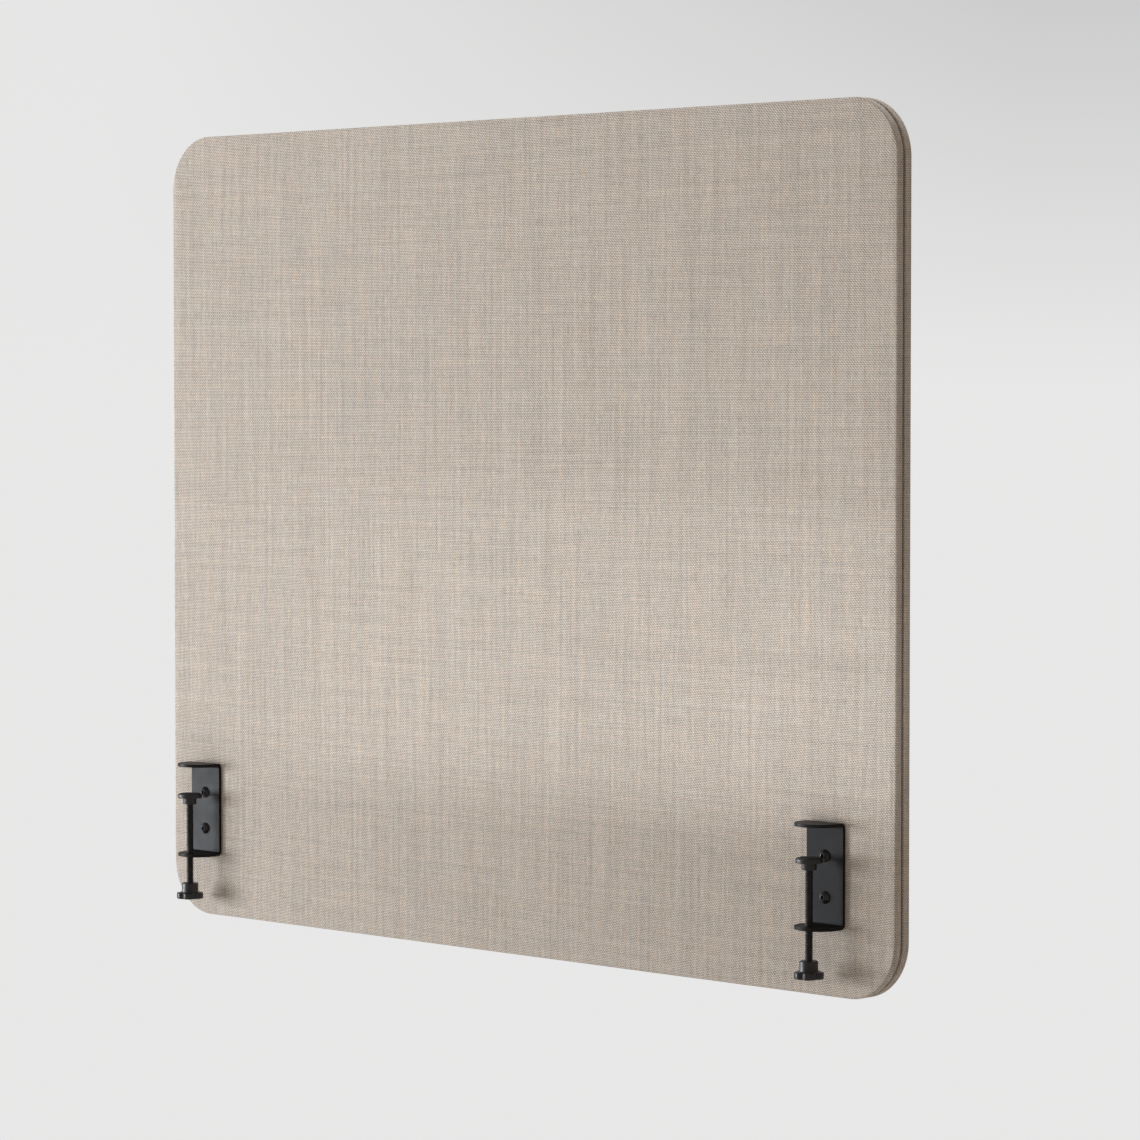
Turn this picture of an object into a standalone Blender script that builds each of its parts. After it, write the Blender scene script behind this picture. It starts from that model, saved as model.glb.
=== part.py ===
"""Desk privacy panel: an upholstered board that two screw clamps hold to the end edge of a desk top.

The desk top lies at -Y, with its upper face in the plane Z = 0 and its end edge at Y = 0.
The board stands behind that edge, in the XZ plane. Every size is in metres.
"""

import math

import bmesh
import bpy

# Driving dimensions of the board
PANEL_WIDTH = 0.800
PANEL_HEIGHT = 0.650
PANEL_THICKNESS = 0.016
PANEL_CORNER = 0.044          # radius of the four corners, seen from the front
PANEL_EDGE = 0.002            # radius between a face and the narrow side
PANEL_BELOW_DESK = 0.125      # how far the board hangs below the desk top's upper face
CORE_THICKNESS = 0.010
WADDING_THICKNESS = 0.0016
FABRIC_THICKNESS = 0.0008
SIDE_BAND = 0.045             # width of the core frame's upright and top members
FIXING_RAIL = 0.150           # height of the core frame's bottom member, which holds the inserts
OPENING_CORNER = 0.020
SEAM_HALF = 0.0008            # half the slit between the two tucked hems
SEAM_LIP = 0.0015             # radius where a cover turns into the groove
HEM = 0.0045                  # straight length of cover inside the groove
GROOVE_HALF = 0.0022
GROOVE_DEPTH = 0.0065
SPLINE_HALF = 0.0005

# Driving dimensions of a clamp
CLAMPS = {"left": -0.357, "right": 0.335}
STEEL = 0.0025
BRACKET_WIDTH = 0.035
BRACKET_REACH = 0.0245        # from the desk's end edge to the tip of the tongue
JAW_HEIGHT = 0.0725           # between the tongue and the lower flange
BEND_RADIUS = 0.0015          # inner radius of both bends
DESK_THICKNESS = 0.0223       # the clamp is drawn closed on a top of this thickness
SPINDLE_AXIS_Y = -0.017
SPINDLE_RADIUS = 0.003
FLANGE_BORE = 0.0033
KNOB_TOP = -0.0972            # hub's upper face at rest
KNOB_BOTTOM = -0.1103
KNOB_HUB_RADIUS = 0.0069
KNOB_RADIUS = 0.011
KNOB_FLANGE = 0.0051
KNOB_LOBES = 5
KNOB_NOTCH = 0.0022
NOTCH_SHARPNESS = 4           # the higher, the narrower the notch
KNOB_FLOOR = 0.002            # plastic left under the spindle's blind bore
FIXING_SCREWS = {"upper": -0.0224, "lower": -0.0526}
SCREW_RADIUS = 0.0025
SCREW_HEAD_RADIUS = 0.00475
SCREW_HEAD_HEIGHT = 0.00275
SCREW_LENGTH = 0.014
SOCKET_FLATS = 0.003
SOCKET_DEPTH = 0.0016
INSERT_RADIUS = 0.0045
INSERT_LENGTH = 0.008
FOOT_RADIUS = 0.010
FOOT_HEIGHT = 0.009
FOOT_PLATE = 0.002            # thickness of the dished plate under the pad
FOOT_RIM = 0.001              # height of the rim round the pad
FOOT_COLLAR_RADIUS = 0.0055
FOOT_LIP = 0.0014             # thickness of the lip that is closed over the spindle's button
THROAT_RADIUS = 0.0023
BUTTON_RADIUS = 0.0028
NECK_RADIUS = 0.002
SPINDLE_CHAMFER = 0.0005
PAD_THICKNESS = 0.0015
PAD_RADIUS = 0.009

GAP = 0.0003                  # clearance between pieces that touch
CORNER_STEPS = 8
ARC_STEPS = 4
TURN_STEPS = 24
NOSE_STEPS = 16
LOBE_STEPS = 16
CUT_MARGIN = 0.004            # how far a cutter runs past what it cuts

# Places worked out from the driving dimensions
FRONT_Y = STEEL + GAP
MIDDLE_Y = FRONT_Y + PANEL_THICKNESS / 2
CENTRE_Z = PANEL_HEIGHT / 2 - PANEL_BELOW_DESK
CORE_INSET = FABRIC_THICKNESS + GAP
HALF_COVER = PANEL_THICKNESS / 2
HALF_WADDING = HALF_COVER - FABRIC_THICKNESS - GAP
CORE_FRONT_Y = MIDDLE_Y - CORE_THICKNESS / 2
FOOT_SEAT = -PAD_THICKNESS - GAP                # heights on the foot, from the pad's upper face
PLATE_UNDERSIDE = FOOT_SEAT - FOOT_PLATE
LIP_TOP = FOOT_LIP - FOOT_HEIGHT
FLAT_TO_UPRIGHT = (math.pi / 2, 0, 0)           # a flat outline stands up, its +Z turns to -Y
FLAT_TO_REAR = (-math.pi / 2, 0, 0)             # the same, with its +Z turned to +Y


def new_collection(name):
    collection = bpy.data.collections.new(name)
    bpy.context.scene.collection.children.link(collection)
    return collection


def clear_scene():
    for item in list(bpy.data.objects):
        bpy.data.objects.remove(item)


def material(name, colour, roughness, metallic=0.0):
    made = bpy.data.materials.new(name)
    made.use_nodes = True
    shader = made.node_tree.nodes["Principled BSDF"]
    shader.inputs["Base Color"].default_value = (*colour, 1.0)
    shader.inputs["Roughness"].default_value = roughness
    shader.inputs["Metallic"].default_value = metallic
    made.diffuse_color = (*colour, 1.0)
    return made


def place(item, collection, location=(0, 0, 0), rotation=(0, 0, 0), finish=None):
    """Link an object, put it in its place and give it its material."""
    collection.objects.link(item)
    item.location = location
    item.rotation_euler = rotation
    if finish is not None:
        item.data.materials.append(finish)
    return item


def smooth(item, angle):
    """Smooth shading, with edges sharper than the angle, in degrees, kept sharp."""
    item.data.shade_smooth()
    item.data.set_sharp_from_angle(angle=math.radians(angle))


def rounded_rectangle(width, height, radius):
    """Points of a rounded rectangle about the origin, anticlockwise."""
    points = []
    for corner in range(4):
        start = corner * math.pi / 2
        across = (width / 2 - radius) * (1 if corner in (0, 3) else -1)
        along = (height / 2 - radius) * (1 if corner in (0, 1) else -1)
        for step in range(CORNER_STEPS + 1):
            angle = start + step / CORNER_STEPS * math.pi / 2
            points.append((across + radius * math.cos(angle), along + radius * math.sin(angle)))
    return points


def panel_outline(inset):
    """The board's outline, moved inwards by inset."""
    return rounded_rectangle(
        PANEL_WIDTH - 2 * inset, PANEL_HEIGHT - 2 * inset, PANEL_CORNER - inset
    )


def plate(name, outlines, thickness):
    """A flat plate from one outline and any holes in it, as a mesh about its own middle plane."""
    curve = bpy.data.curves.new(name, "CURVE")
    curve.dimensions = "2D"
    curve.fill_mode = "BOTH"
    curve.extrude = thickness / 2
    for outline in outlines:
        spline = curve.splines.new("POLY")
        spline.points.add(len(outline) - 1)
        for point, (x, y) in zip(spline.points, outline):
            point.co = (x, y, 0, 1)
        spline.use_cyclic_u = True
    return curve_to_mesh(name, curve)


def curve_to_mesh(name, curve):
    """A curve as a welded mesh object, not yet in a collection."""
    drawn = bpy.data.objects.new(name + "_curve", curve)
    bpy.context.scene.collection.objects.link(drawn)
    evaluated = drawn.evaluated_get(bpy.context.evaluated_depsgraph_get())
    mesh = bpy.data.meshes.new_from_object(evaluated)
    bpy.data.objects.remove(drawn)
    shape = bmesh.new()
    shape.from_mesh(mesh)
    bmesh.ops.remove_doubles(shape, verts=shape.verts, dist=1e-6)
    bmesh.ops.recalc_face_normals(shape, faces=shape.faces)
    shape.to_mesh(mesh)
    shape.free()
    return bpy.data.objects.new(name, mesh)


def cylinder(name, radius, depth, sides=TURN_STEPS):
    """A cylinder, or a prism of a few sides, about the origin and along Z."""
    mesh = bpy.data.meshes.new(name)
    shape = bmesh.new()
    bmesh.ops.create_cone(
        shape, cap_ends=True, segments=sides, radius1=radius, radius2=radius, depth=depth
    )
    shape.to_mesh(mesh)
    shape.free()
    return bpy.data.objects.new(name, mesh)


def turned(name, profile, closed=False):
    """A turned body about Z. The profile of (radius, height) runs down its outer side."""
    mesh = bpy.data.meshes.new(name)
    shape = bmesh.new()
    verts = [shape.verts.new((radius, 0, height)) for radius, height in profile]
    for first, second in zip(verts, verts[1:]):
        shape.edges.new((first, second))
    if closed:
        shape.edges.new((verts[-1], verts[0]))
    shape.to_mesh(mesh)
    shape.free()
    item = bpy.data.objects.new(name, mesh)
    screw = item.modifiers.new("turn", "SCREW")
    screw.axis = "Z"
    screw.angle = 2 * math.pi
    screw.steps = TURN_STEPS
    screw.render_steps = TURN_STEPS
    screw.use_merge_vertices = True
    screw.merge_threshold = 1e-6
    screw.use_smooth_shade = True
    return item


def cut(item, cutter, cutters, operation="DIFFERENCE"):
    """Take a cutter, already in place, from an item, or keep or add what they share."""
    if cutter.name not in cutters.objects:
        cutters.objects.link(cutter)
    cutter.hide_render = True
    cutter.display_type = "WIRE"
    boolean = item.modifiers.new(cutter.name, "BOOLEAN")
    boolean.operation = operation
    boolean.solver = "EXACT"
    boolean.object = cutter


def put(item, location, rotation=(0, 0, 0)):
    item.location = location
    item.rotation_euler = rotation
    return item


def ring_sweep(name, profile, cap_first=False, close=False):
    """A skin through outlines of the board, one for each (inset, height) in the profile."""
    mesh = bpy.data.meshes.new(name)
    shape = bmesh.new()
    rings = [
        [shape.verts.new((x, y, height)) for x, y in panel_outline(inset)]
        for inset, height in profile
    ]
    pairs = list(zip(rings, rings[1:]))
    if close:
        pairs.append((rings[-1], rings[0]))
    for upper, lower in pairs:
        for here in range(len(upper)):
            after = (here + 1) % len(upper)
            shape.faces.new((upper[here], lower[here], lower[after], upper[after]))
    if cap_first:
        shape.faces.new(rings[0])
    shape.to_mesh(mesh)
    shape.free()
    return bpy.data.objects.new(name, mesh)


def arc(centre, radius, start, end, steps=ARC_STEPS):
    """Points of an arc in a profile, from one angle to another, in degrees."""
    points = []
    for step in range(steps + 1):
        angle = math.radians(start + (end - start) * step / steps)
        points.append((centre[0] + radius * math.cos(angle), centre[1] + radius * math.sin(angle)))
    return points


def cover(name, finish, parts, rotation):
    """One fabric cover: face, rounded edge, narrow side, and a hem tucked into the edge groove."""
    edge = arc((PANEL_EDGE, HALF_COVER - PANEL_EDGE), PANEL_EDGE, 90, 180)
    lip = arc((SEAM_LIP, SEAM_HALF + SEAM_LIP), SEAM_LIP, 180, 270)
    profile = edge + lip + [(SEAM_LIP + HEM, SEAM_HALF)]
    item = ring_sweep(name, profile, cap_first=True)
    place(item, parts, (0, MIDDLE_Y, CENTRE_Z), rotation, finish)
    skin = item.modifiers.new("cloth", "SOLIDIFY")
    skin.thickness = FABRIC_THICKNESS
    skin.offset = -1
    skin.use_even_offset = True
    smooth(item, 40)
    return item


def wadding(name, finish, parts, y):
    item = plate(name, [panel_outline(PANEL_EDGE)], WADDING_THICKNESS)
    return place(item, parts, (0, y, CENTRE_Z), FLAT_TO_UPRIGHT, finish)


def screw_places():
    """Name and place of each fixing screw, on the desk-side face of its bracket."""
    for side, x in CLAMPS.items():
        for level, z in FIXING_SCREWS.items():
            yield f"{side}_{level}", x, z


def opening_size(clearance=0.0):
    """Width, height, centre height and corner radius of the core frame's opening."""
    width = PANEL_WIDTH - 2 * SIDE_BAND - 2 * clearance
    height = PANEL_HEIGHT - SIDE_BAND - FIXING_RAIL - 2 * clearance
    rise = (FIXING_RAIL - SIDE_BAND) / 2
    return width, height, rise, OPENING_CORNER - clearance


def core(finish, parts, cutters):
    """The rigid frame of the board, grooved all round and bored for the threaded inserts."""
    width, height, rise, radius = opening_size()
    hole = [(x, y + rise) for x, y in rounded_rectangle(width, height, radius)]
    item = plate("core_frame", [panel_outline(CORE_INSET), hole], CORE_THICKNESS)
    place(item, parts, (0, MIDDLE_Y, CENTRE_Z), FLAT_TO_UPRIGHT, finish)
    floor = CORE_INSET + GROOVE_DEPTH
    section = [
        (-CUT_MARGIN, GROOVE_HALF),
        (-CUT_MARGIN, -GROOVE_HALF),
        (floor, -GROOVE_HALF),
        (floor, GROOVE_HALF),
    ]
    groove = ring_sweep("edge_groove_cutter", section, close=True)
    put(groove, (0, MIDDLE_Y, CENTRE_Z), FLAT_TO_UPRIGHT)
    cut(item, groove, cutters)
    for name, x, z in screw_places():
        bore_depth = INSERT_LENGTH + 2 * GAP
        bore = cylinder(f"{name}_bore", INSERT_RADIUS + GAP, bore_depth + CUT_MARGIN)
        put(bore, (x, CORE_FRONT_Y + (bore_depth - CUT_MARGIN) / 2, z), FLAT_TO_UPRIGHT)
        cut(item, bore, cutters)
    return item


def infill(finish, parts):
    width, height, rise, radius = opening_size(GAP)
    item = plate("acoustic_infill", [rounded_rectangle(width, height, radius)], CORE_THICKNESS)
    return place(item, parts, (0, MIDDLE_Y, CENTRE_Z + rise), FLAT_TO_UPRIGHT, finish)


def edge_spline(finish, parts):
    """The strip pressed between the two hems, all round the board."""
    start = SEAM_LIP + 2 * GAP
    end = SEAM_LIP + HEM
    section = [
        (start, SPLINE_HALF),
        (start, -SPLINE_HALF),
        (end, -SPLINE_HALF),
        (end, SPLINE_HALF),
    ]
    item = ring_sweep("edge_spline", section, close=True)
    return place(item, parts, (0, MIDDLE_Y, CENTRE_Z), FLAT_TO_UPRIGHT, finish)


def clear_screw_holes(item, radius, cutters):
    """Round holes where the fixing screws pass a layer on the desk side."""
    for name, x, z in screw_places():
        hole = cylinder(f"{item.name}_{name}_hole", radius, 2 * CUT_MARGIN)
        put(hole, (x, FRONT_Y + CUT_MARGIN / 2, z), FLAT_TO_UPRIGHT)
        cut(item, hole, cutters)


def insert(name, x, z, finish, parts):
    """A threaded insert, flush with the front of the core."""
    bore = SCREW_RADIUS + GAP
    top = CORE_FRONT_Y + GAP
    profile = [
        (bore, 0),
        (INSERT_RADIUS, 0),
        (INSERT_RADIUS, -INSERT_LENGTH),
        (bore, -INSERT_LENGTH),
    ]
    item = turned(f"{name}_insert", profile, closed=True)
    return place(item, parts, (x, top, z), FLAT_TO_UPRIGHT, finish)


def fixing_screw(name, x, z, finish, parts, cutters):
    """A button-head machine screw with a hexagon socket. Its head seats on the bracket."""
    centre = (SCREW_HEAD_RADIUS ** 2 - SCREW_HEAD_HEIGHT ** 2) / (2 * SCREW_HEAD_HEIGHT)
    ball = centre + SCREW_HEAD_HEIGHT
    rim = math.degrees(math.asin(centre / ball))
    dome = arc((0, -centre), ball, 90, rim)
    dome[0] = (0, dome[0][1])
    shank = [
        (SCREW_RADIUS, 0),
        (SCREW_RADIUS, -SCREW_LENGTH + SCREW_RADIUS / 4),
        (SCREW_RADIUS * 3 / 4, -SCREW_LENGTH),
        (0, -SCREW_LENGTH),
    ]
    item = turned(f"{name}_screw", dome + shank)
    place(item, parts, (x, -GAP, z), FLAT_TO_UPRIGHT, finish)
    corner_radius = SOCKET_FLATS / 2 / math.cos(math.pi / 6)
    socket = cylinder(f"{name}_socket", corner_radius, 2 * SOCKET_DEPTH, sides=6)
    put(socket, (x, -GAP - SCREW_HEAD_HEIGHT, z), FLAT_TO_UPRIGHT)
    cut(item, socket, cutters)
    return item


def bracket(side, x, finish, parts, cutters):
    """A strip of steel bent to a C: tongue on the desk, back plate, and flange for the spindle."""
    bend = BEND_RADIUS
    reach = BRACKET_REACH + CUT_MARGIN
    upper = arc((-bend, -bend), bend, 90, 0)
    lower = arc((-bend, -JAW_HEIGHT + bend), bend, 0, -90)
    path = [(-reach, 0)] + upper + lower + [(-reach, -JAW_HEIGHT)]
    mesh = bpy.data.meshes.new(f"{side}_bracket")
    shape = bmesh.new()
    verts = [shape.verts.new((-BRACKET_WIDTH, y, z)) for y, z in path]
    edges = [shape.edges.new(pair) for pair in zip(verts, verts[1:])]
    grown = bmesh.ops.extrude_edge_only(shape, edges=edges)["geom"]
    far_side = [item for item in grown if isinstance(item, bmesh.types.BMVert)]
    bmesh.ops.translate(shape, verts=far_side, vec=(2 * BRACKET_WIDTH, 0, 0))
    shape.to_mesh(mesh)
    shape.free()
    item = bpy.data.objects.new(f"{side}_bracket", mesh)
    place(item, parts, (x, 0, 0), finish=finish)
    steel = item.modifiers.new("steel", "SOLIDIFY")
    steel.thickness = STEEL
    steel.offset = 1
    steel.use_even_offset = True

    half = BRACKET_WIDTH / 2
    nose = arc((0, -BRACKET_REACH + half), half, 180, 360, steps=NOSE_STEPS)
    outline = [(half, CUT_MARGIN), (-half, CUT_MARGIN)] + nose
    blank = plate(f"{side}_blank", [outline], JAW_HEIGHT + 4 * CUT_MARGIN)
    put(blank, (x, 0, -JAW_HEIGHT / 2))
    cut(item, blank, cutters, "INTERSECT")

    bore = cylinder(f"{side}_thread_bore", FLANGE_BORE, 2 * CUT_MARGIN)
    put(bore, (x, SPINDLE_AXIS_Y, -JAW_HEIGHT - STEEL / 2))
    cut(item, bore, cutters)
    for level, z in FIXING_SCREWS.items():
        hole = cylinder(f"{side}_{level}_hole", SCREW_RADIUS + GAP, 2 * CUT_MARGIN)
        put(hole, (x, STEEL / 2, z), FLAT_TO_UPRIGHT)
        cut(item, hole, cutters)
    return item


def foot_pad(side, x, finish, parts):
    profile = [(0, 0), (PAD_RADIUS, 0), (PAD_RADIUS, -PAD_THICKNESS), (0, -PAD_THICKNESS)]
    item = turned(f"{side}_foot_pad", profile)
    return place(item, parts, (x, SPINDLE_AXIS_Y, -DESK_THICKNESS), finish=finish)


def press_foot(side, x, finish, parts):
    """The swivel foot: a dished plate with a collar that is closed over the spindle's button."""
    rim = FOOT_SEAT + FOOT_RIM
    pocket = BUTTON_RADIUS + GAP
    profile = [
        (0, FOOT_SEAT),
        (PAD_RADIUS + GAP, FOOT_SEAT),
        (PAD_RADIUS + GAP, rim),
        (FOOT_RADIUS, rim),
        (FOOT_RADIUS, PLATE_UNDERSIDE),
        (FOOT_COLLAR_RADIUS, PLATE_UNDERSIDE),
        (FOOT_COLLAR_RADIUS, -FOOT_HEIGHT),
        (THROAT_RADIUS, -FOOT_HEIGHT),
        (THROAT_RADIUS, LIP_TOP),
        (pocket, LIP_TOP),
        (pocket, PLATE_UNDERSIDE),
        (0, PLATE_UNDERSIDE),
    ]
    item = turned(f"{side}_press_foot", profile)
    return place(item, parts, (x, SPINDLE_AXIS_Y, -DESK_THICKNESS), finish=finish)


def spindle(side, x, finish, parts):
    """The clamp screw, with a necked button that turns inside the press foot."""
    crown = PLATE_UNDERSIDE - GAP
    button_base = LIP_TOP + GAP
    thread_top = -FOOT_HEIGHT - GAP
    end = KNOB_BOTTOM + KNOB_FLOOR + GAP + DESK_THICKNESS
    profile = [
        (0, crown),
        (BUTTON_RADIUS - SPINDLE_CHAMFER, crown),
        (BUTTON_RADIUS, crown - SPINDLE_CHAMFER),
        (BUTTON_RADIUS, button_base),
        (NECK_RADIUS, button_base),
        (NECK_RADIUS, thread_top),
        (SPINDLE_RADIUS - SPINDLE_CHAMFER, thread_top),
        (SPINDLE_RADIUS, thread_top - SPINDLE_CHAMFER),
        (SPINDLE_RADIUS, end),
        (0, end),
    ]
    item = turned(f"{side}_clamp_screw", profile)
    return place(item, parts, (x, SPINDLE_AXIS_Y, -DESK_THICKNESS), finish=finish)


def lobed_outline():
    """The knob's rim: a circle with a narrow rounded notch between each two lobes."""
    points = []
    steps = KNOB_LOBES * LOBE_STEPS
    for step in range(steps):
        angle = 2 * math.pi * step / steps
        notch = (0.5 - 0.5 * math.cos(KNOB_LOBES * (angle + math.pi / 4))) ** NOTCH_SHARPNESS
        radius = KNOB_RADIUS - KNOB_NOTCH * notch
        points.append((radius * math.cos(angle), radius * math.sin(angle)))
    return points


def knob(side, x, finish, parts, cutters):
    """A moulded hand knob: a round hub on a five-lobed rim, with a blind bore for the spindle."""
    item = plate(f"{side}_knob", [lobed_outline()], KNOB_FLANGE)
    place(item, parts, (x, SPINDLE_AXIS_Y, KNOB_BOTTOM + KNOB_FLANGE / 2), finish=finish)
    hub_bottom = KNOB_BOTTOM + KNOB_FLANGE / 2
    hub_height = KNOB_TOP - hub_bottom
    hub = cylinder(f"{side}_hub", KNOB_HUB_RADIUS, hub_height)
    put(hub, (x, SPINDLE_AXIS_Y, hub_bottom + hub_height / 2))
    cut(item, hub, cutters, "UNION")
    bore_floor = KNOB_BOTTOM + KNOB_FLOOR
    bore_height = KNOB_TOP + CUT_MARGIN - bore_floor
    bore = cylinder(f"{side}_knob_bore", SPINDLE_RADIUS + GAP, bore_height)
    put(bore, (x, SPINDLE_AXIS_Y, bore_floor + bore_height / 2))
    cut(item, bore, cutters)
    return item


def build():
    clear_scene()
    parts = new_collection("desk_privacy_panel")
    cutters = new_collection("cutters")

    fabric = material("melange_fabric", (0.50, 0.44, 0.38), 0.95)
    foam = material("wadding_felt", (0.75, 0.74, 0.70), 0.95)
    board = material("core_board", (0.55, 0.42, 0.28), 0.80)
    felt = material("acoustic_felt", (0.45, 0.46, 0.47), 0.95)
    strip = material("spline_strip", (0.06, 0.055, 0.05), 0.60)
    zinc = material("zinc_insert", (0.62, 0.60, 0.55), 0.35, 1.0)
    black_steel = material("black_steel", (0.022, 0.022, 0.022), 0.42, 0.0)
    black_screw = material("black_screw", (0.03, 0.03, 0.032), 0.35, 0.6)
    black_plastic = material("black_plastic", (0.02, 0.02, 0.021), 0.38)
    black_rubber = material("black_rubber", (0.03, 0.03, 0.03), 0.75)

    core(board, parts, cutters)
    infill(felt, parts)
    layer = HALF_WADDING - WADDING_THICKNESS / 2
    front_wadding = wadding("front_wadding", foam, parts, MIDDLE_Y - layer)
    wadding("rear_wadding", foam, parts, MIDDLE_Y + layer)
    front_cover = cover("front_cover", fabric, parts, FLAT_TO_UPRIGHT)
    cover("rear_cover", fabric, parts, FLAT_TO_REAR)
    edge_spline(strip, parts)
    clear_screw_holes(front_wadding, SCREW_RADIUS + 3 * GAP, cutters)
    clear_screw_holes(front_cover, SCREW_RADIUS + 2 * GAP, cutters)

    for name, x, z in screw_places():
        insert(name, x, z, zinc, parts)
        fixing_screw(name, x, z, black_screw, parts, cutters)
    for side, x in CLAMPS.items():
        bracket(side, x, black_steel, parts, cutters)
        foot_pad(side, x, black_rubber, parts)
        press_foot(side, x, black_plastic, parts)
        spindle(side, x, black_screw, parts)
        knob(side, x, black_plastic, parts, cutters)


build()
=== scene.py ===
"""Looks of the desk privacy panel: fabric, padding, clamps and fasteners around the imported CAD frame.

The desk top lies at -Y with its upper face at Z = 0, and the board stands in the XZ plane. Metres.
"""

import math

import bmesh
import bpy
import numpy as np
from mathutils import Matrix, Vector


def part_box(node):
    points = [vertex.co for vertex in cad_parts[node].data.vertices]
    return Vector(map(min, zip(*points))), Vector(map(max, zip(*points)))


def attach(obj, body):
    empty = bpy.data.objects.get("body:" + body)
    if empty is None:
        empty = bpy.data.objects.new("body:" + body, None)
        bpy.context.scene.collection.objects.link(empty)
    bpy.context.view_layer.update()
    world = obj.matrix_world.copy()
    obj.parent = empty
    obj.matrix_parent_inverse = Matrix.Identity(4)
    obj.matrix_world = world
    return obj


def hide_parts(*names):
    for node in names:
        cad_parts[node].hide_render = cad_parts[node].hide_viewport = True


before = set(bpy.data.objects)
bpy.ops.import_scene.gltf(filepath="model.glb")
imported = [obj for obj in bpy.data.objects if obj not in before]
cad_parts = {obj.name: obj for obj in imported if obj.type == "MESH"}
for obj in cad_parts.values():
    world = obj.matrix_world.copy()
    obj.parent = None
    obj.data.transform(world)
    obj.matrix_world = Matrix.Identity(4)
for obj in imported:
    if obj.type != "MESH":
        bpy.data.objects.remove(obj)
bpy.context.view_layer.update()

# Sizes of the board that the boxes of the CAD nodes don't give
CORNER = 0.044                # radius of the four corners, seen from the front
EDGE = 0.0016                 # radius between a face and the narrow side
FABRIC = 0.0008
GAP = 0.0003
SEAM_HALF = 0.0012            # half the slit between the two hems
SEAM_LIP = 0.0012             # radius where a cover turns into the seam
HEM = 0.0045                  # straight length of cover inside the seam
LOFT = 0.0004                 # how far the padding lifts the fabric, away from its edges
SPLINE_LIP = 0.0002
YARN_WIDTH = 0.00125          # pitch of the warp, across the board
YARN_HEIGHT = 0.001265        # pitch of the weft, up the board
MIRROR_LEAN = 0.2             # 0.5 is an upright crossing, 0 one drawn out into a falling diagonal
TAN = (0.635, 0.510, 0.390)
BLUE_GREY = (0.458, 0.452, 0.430)
# Noise drawn out along the yarns: how fast it changes across and up the cloth, per yarn, and its strength
YARN_TONES = (
    (0.30, 0.005, 0.034),
    (0.60, 0.012, 0.074),
    (0.45, 0.040, 0.036),
    (0.80, 0.150, 0.080),
    (0.005, 0.45, 0.030),
    (0.015, 0.80, 0.046),
    (0.060, 0.60, 0.026),
    (0.9, 0.9, 0.13),
)
YARN_HUES = (
    (0.40, 0.006, 0.07),
    (0.60, 0.050, 0.12),
    (0.050, 0.6, 0.07),
    (0.9, 0.9, 0.11),
)

FELT_RIM = 0.0004             # how far the felt's rim bulges
GATHER = 0.00013              # height of the gathers at the corners
GATHER_TURNS = 14             # gathers round a corner, in radians of phase for each radian of turn
SHARP = math.radians(40)      # edges sharper than this are shaded as edges

# The cloth simulation that gives the lift of a face
SIM_FRAMES = 14
CLOTH_MASS = 0.3
CLOTH_STRETCH = 40
CLOTH_SHEAR = 20
CLOTH_BENDING = 2
CLOTH_PRESSURE = 6

# Sizes of the clamps
STEEL = 0.0025
STEEL_EDGE = 0.0003           # rounding of the strip's cut edges
STEEL_SHARP = math.radians(50)
BEND_RADIUS = 0.0015          # inner radius of both bends
THREAD_BORE = 0.0033
SPINDLE_Y = -0.017
SPINDLE_RADIUS = 0.003
SPINDLE_PITCH = 0.001
THREAD_DEPTH = 0.00055
BUTTON_RADIUS = 0.0028
NECK_RADIUS = 0.002
COLLAR_LIP = 0.0014
FOOT_PLATE = 0.002
FOOT_COLLAR_RADIUS = 0.0055
PAD_RADIUS = 0.009
KNOB_FLANGE = 0.0051
KNOB_HUB_RADIUS = 0.0069
KNOB_NOTCH = 0.0022
KNOB_LOBES = 5
KNOB_FLOOR = 0.002
NOTCH_SHARPNESS = 4
SCREW_RADIUS = 0.0025
SCREW_HEAD_RADIUS = 0.00475
SCREW_HEAD_HEIGHT = 0.00275
SCREW_PITCH = 0.0008
SOCKET_FLATS = 0.003
SOCKET_DEPTH = 0.0016
SCREW_THREAD_DEPTH = 0.0004
PAD_RINGS = (0.0025, 0.0045, 0.0065)
CUT_DEPTH = 0.010
TURNED_STEPS = 48             # points round a turned piece
ROTATE_TO_Y = Matrix(((1, 0, 0), (0, 0, -1), (0, 1, 0)))
SIDES = ("left", "right")
LEVELS = ("upper", "lower")

# The grid of cells on a face of the board
CORNER_CELLS = 10
CELL = 0.010

# The studio
PALE = (0.805, 0.805, 0.802)  # the surround
DIM = (0.590, 0.590, 0.588)   # its dimmer part, high up on the right
DIM_LEAN = 0.15
DIM_HEIGHT = 0.18
AMBIENT = (0.298, 0.266, 0.239)
DAYLIGHT = (0.955, 1.0, 1.07)
FLOOR_Z = -0.72
FLOOR_RADIUS = 60.0
FLOOR_COLOUR = (0.80, 0.80, 0.795, 1.0)
FLOOR_LIGHT = (0.36, 0.32, 0.29)   # what the far floor casts on the object
FLOOR_FADE = (0.6, 2.3)       # where the floor begins to fade into the surround, and where it has faded
# name, place, target, width and height, power
SOFT_LIGHTS = (
    ("ceiling", (-0.35, 0.55, 3.3), (0.0, 0.0, 0.4), (1.5, 1.5), 58.0),
    ("rear_fill", (-1.6, 3.0, 0.6), (0.0, 0.0, 0.2), (2.0, 1.6), 60.0),
    ("window", (-2.6, -1.8, 0.0), (-0.4, 0.0, 0.15), (1.6, 1.0), 92.0),
    ("desk_glow", (0.0, -0.62, -0.02), (0.0, -0.62, 1.0), (0.8, 1.1), 0.96),
    ("near_glow", (0.1, -0.20, -0.02), (0.1, -0.20, 1.0), (0.7, 0.3), 0.26),
    ("right_glow", (0.40, -0.38, -0.02), (0.40, -0.38, 1.0), (0.34, 0.5), 0.76),
)
CAMERA_PLACE = (2.4006, -2.3359, 0.3197)
CAMERA_AZIMUTH = math.radians(44.881)
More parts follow.
